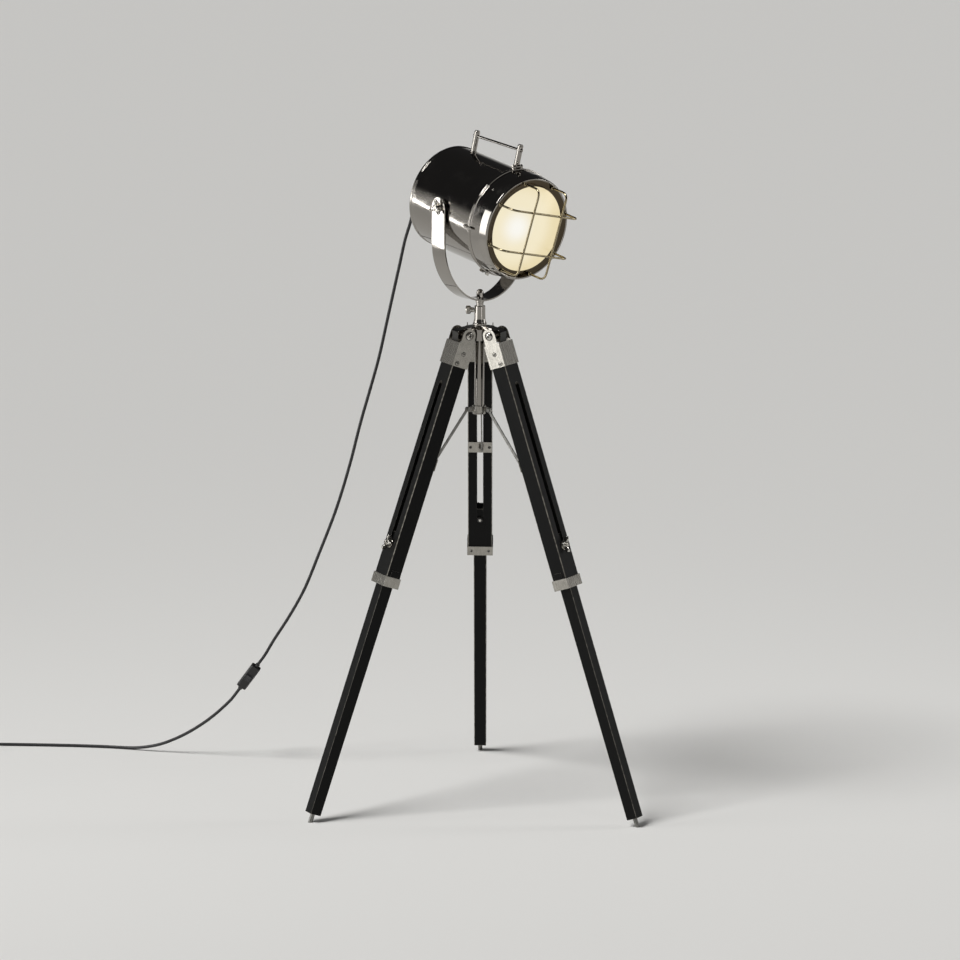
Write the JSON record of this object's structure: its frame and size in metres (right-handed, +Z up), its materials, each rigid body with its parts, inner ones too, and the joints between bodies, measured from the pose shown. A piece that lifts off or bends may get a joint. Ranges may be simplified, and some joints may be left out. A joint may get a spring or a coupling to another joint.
{
  "type": "tripod spotlight",
  "caption": "Floor spotlight: a polished barrel lamp head with a wire guard in a tilting yoke, on a folding tripod with telescoping black wooden legs and a corded switch.",
  "frame": {"origin": "point on the floor under the middle of the lamp's box, without its cord", "axes": "+Z up; +Y towards the rear leg; the two front legs stand at -X and +X; the head points to +X and -Y"},
  "size_m": [1.6308, 0.6424, 1.5013],
  "materials": {
    "mirror_nickel": "polished nickel plate",
    "satin_nickel": "dull nickel plate",
    "steel": "plain steel",
    "black_wood": "black satin paint, worn at the edges",
    "reflector_metal": "bright, slightly diffuse",
    "white_ceramic": "glazed",
    "bulb_glass": "opal",
    "frosted_glass": "frosted, warm white",
    "black_rubber": "satin",
    "black_plastic": "semi-gloss",
    "grey_plastic": "semi-gloss"
  },
  "bodies": {
    "crown": {"crown": "mirror_nickel", "centre_post": "mirror_nickel", "socket": "mirror_nickel", "hinge_bolt_left": "satin_nickel", "hinge_bolt_right": "satin_nickel", "hinge_bolt_rear": "satin_nickel"},
    "collar": {"collar": "satin_nickel"},
    "leg_left": {"leg_cap_left": "satin_nickel", "upper_leg_left": "black_wood", "leg_band_left": "satin_nickel", "brace_plate_left": "satin_nickel"},
    "lower_left": {"lower_leg_left": "black_wood", "foot_left": "steel", "clamp_bolt_left": "satin_nickel"},
    "wing_left": {"wing_nut_left": "satin_nickel"},
    "brace_left": {"brace_left": "steel"},
    "leg_right": {"leg_cap_right": "satin_nickel", "upper_leg_right": "black_wood", "leg_band_right": "satin_nickel", "brace_plate_right": "satin_nickel"},
    "lower_right": {"lower_leg_right": "black_wood", "foot_right": "steel", "clamp_bolt_right": "satin_nickel"},
    "wing_right": {"wing_nut_right": "satin_nickel"},
    "brace_right": {"brace_right": "steel"},
    "leg_rear": {"leg_cap_rear": "satin_nickel", "upper_leg_rear": "black_wood", "leg_band_rear": "satin_nickel", "brace_plate_rear": "satin_nickel"},
    "lower_rear": {"lower_leg_rear": "black_wood", "foot_rear": "steel", "clamp_bolt_rear": "satin_nickel"},
    "wing_rear": {"wing_nut_rear": "satin_nickel"},
    "brace_rear": {"brace_rear": "steel"},
    "socket_screw": {"socket_screw": "satin_nickel"},
    "yoke": {"yoke_strap": "mirror_nickel", "yoke_spigot": "mirror_nickel", "yoke_nut": "mirror_nickel", "cord_upper": "black_rubber", "cord_lower": "black_rubber", "cord_coil": "black_rubber", "switch_body": "black_plastic", "plug": "black_plastic"},
    "rocker": {"switch_rocker": "grey_plastic"},
    "head": {"barrel": "mirror_nickel", "back_cover": "mirror_nickel", "cable_gland": "black_rubber", "handle": "mirror_nickel", "reflector": "reflector_metal", "lamp_holder": "white_ceramic", "bulb": "bulb_glass"},
    "tilt_knob_near": {"tilt_screw_near": "steel", "tilt_knob_near": "satin_nickel"},
    "latch_near": {"latch_near": "mirror_nickel"},
    "tilt_knob_far": {"tilt_screw_far": "steel", "tilt_knob_far": "satin_nickel"},
    "latch_far": {"latch_far": "mirror_nickel"},
    "bezel": {"bezel": "mirror_nickel", "lens": "frosted_glass", "guard": "mirror_nickel"}
  },
  "joints": [
    {"name": "leg_fold_left", "type": "hinge", "parent": "crown", "child": "leg_left", "pos_m": [-0.03551, -0.11964, 1.06], "axis": [0.5, -0.866, 0], "range_deg": [0, 15]},
    {"name": "leg_fold_right", "type": "hinge", "parent": "crown", "child": "leg_right", "pos_m": [0.03551, -0.11964, 1.06], "axis": [0.5, 0.866, 0], "range_deg": [0, 15]},
    {"name": "leg_fold_rear", "type": "hinge", "parent": "crown", "child": "leg_rear", "pos_m": [0, -0.05814, 1.06], "axis": [-1, 0, 0], "range_deg": [0, 15]},
    {"name": "collar_slide", "type": "slide", "parent": "crown", "child": "collar", "axis": [0, 0, 1], "range_m": [0, 0.019]},
    {"name": "brace_swing_left", "type": "hinge", "parent": "collar", "child": "brace_left", "pos_m": [-0.02338, -0.11264, 0.8905], "axis": [0.5, -0.866, 0], "range_deg": [0, 33]},
    {"name": "brace_swing_right", "type": "hinge", "parent": "collar", "child": "brace_right", "pos_m": [0.02338, -0.11264, 0.8905], "axis": [0.5, 0.866, 0], "range_deg": [0, 33]},
    {"name": "brace_swing_rear", "type": "hinge", "parent": "collar", "child": "brace_rear", "pos_m": [0, -0.07214, 0.8905], "axis": [-1, 0, 0], "range_deg": [0, 33]},
    {"name": "lower_slide_left", "type": "slide", "parent": "leg_left", "child": "lower_left", "axis": [0.2882, 0.1664, 0.943], "range_m": [0, 0.16]},
    {"name": "lower_slide_right", "type": "slide", "parent": "leg_right", "child": "lower_right", "axis": [-0.2882, 0.1664, 0.943], "range_m": [0, 0.16]},
    {"name": "lower_slide_rear", "type": "slide", "parent": "leg_rear", "child": "lower_rear", "axis": [0, -0.3327, 0.943], "range_m": [0, 0.16]},
    {"name": "wing_turn_left", "type": "hinge", "parent": "lower_left", "child": "wing_left", "pos_m": [-0.18951, -0.20855, 0.6095], "axis": [-0.8167, -0.4715, 0.3327], "continuous": true},
    {"name": "wing_turn_right", "type": "hinge", "parent": "lower_right", "child": "wing_right", "pos_m": [0.18951, -0.20855, 0.6095], "axis": [0.8167, -0.4715, 0.3327], "continuous": true},
    {"name": "wing_turn_rear", "type": "hinge", "parent": "lower_rear", "child": "wing_rear", "pos_m": [0, 0.11969, 0.6095], "axis": [0, 0.943, 0.3327], "continuous": true},
    {"name": "socket_screw_turn", "type": "hinge", "parent": "crown", "child": "socket_screw", "pos_m": [-0.02494, -0.10088, 1.111], "axis": [-0.9976, -0.0698, 0], "continuous": true},
    {"name": "yoke_pan", "type": "hinge", "parent": "crown", "child": "yoke", "pos_m": [0, -0.09914, 1.133], "axis": [0, 0, 1], "range_deg": [-170, 170]},
    {"name": "head_tilt", "type": "hinge", "parent": "yoke", "child": "head", "pos_m": [0, -0.09914, 1.348], "axis": [-0.7593, -0.6508, 0], "range_deg": [-36, 60], "deforming": ["cord_upper"]},
    {"name": "tilt_knob_turn_near", "type": "hinge", "parent": "head", "child": "tilt_knob_near", "pos_m": [-0.09491, -0.18049, 1.348], "axis": [-0.7593, -0.6508, 0], "continuous": true},
    {"name": "tilt_knob_turn_far", "type": "hinge", "parent": "head", "child": "tilt_knob_far", "pos_m": [0.09491, -0.01779, 1.348], "axis": [-0.7593, -0.6508, 0], "continuous": true},
    {"name": "bezel_open", "type": "hinge", "parent": "head", "child": "bezel", "pos_m": [0.08007, -0.19256, 1.44165], "axis": [-0.7593, -0.6508, 0], "range_deg": [0, 95]},
    {"name": "latch_swing_near", "type": "hinge", "parent": "head", "child": "latch_near", "pos_m": [0.00624, -0.19371, 1.21432], "axis": [0.6247, 0.6279, -0.4642], "range_deg": [0, 110]},
    {"name": "latch_swing_far", "type": "hinge", "parent": "head", "child": "latch_far", "pos_m": [0.0925, -0.11977, 1.21432], "axis": [0.7161, 0.5213, 0.4642], "range_deg": [0, 110]},
    {"name": "rocker_tip", "type": "hinge", "parent": "yoke", "child": "rocker", "pos_m": [-0.52984, 0.181, 0.1998], "axis": [0.8186, 0, -0.5744], "range_deg": [-16, 0]}
  ],
  "couplings": [
    {"joint": "leg_fold_right", "follows": "leg_fold_left", "ratio": 1},
    {"joint": "leg_fold_rear", "follows": "leg_fold_left", "ratio": 1},
    {"joint": "collar_slide", "follows": "leg_fold_left", "m_per_rad": 0.072372},
    {"joint": "brace_swing_left", "follows": "leg_fold_left", "ratio": 2.1916},
    {"joint": "brace_swing_right", "follows": "leg_fold_left", "ratio": 2.1916},
    {"joint": "brace_swing_rear", "follows": "leg_fold_left", "ratio": 2.1916}
  ]
}
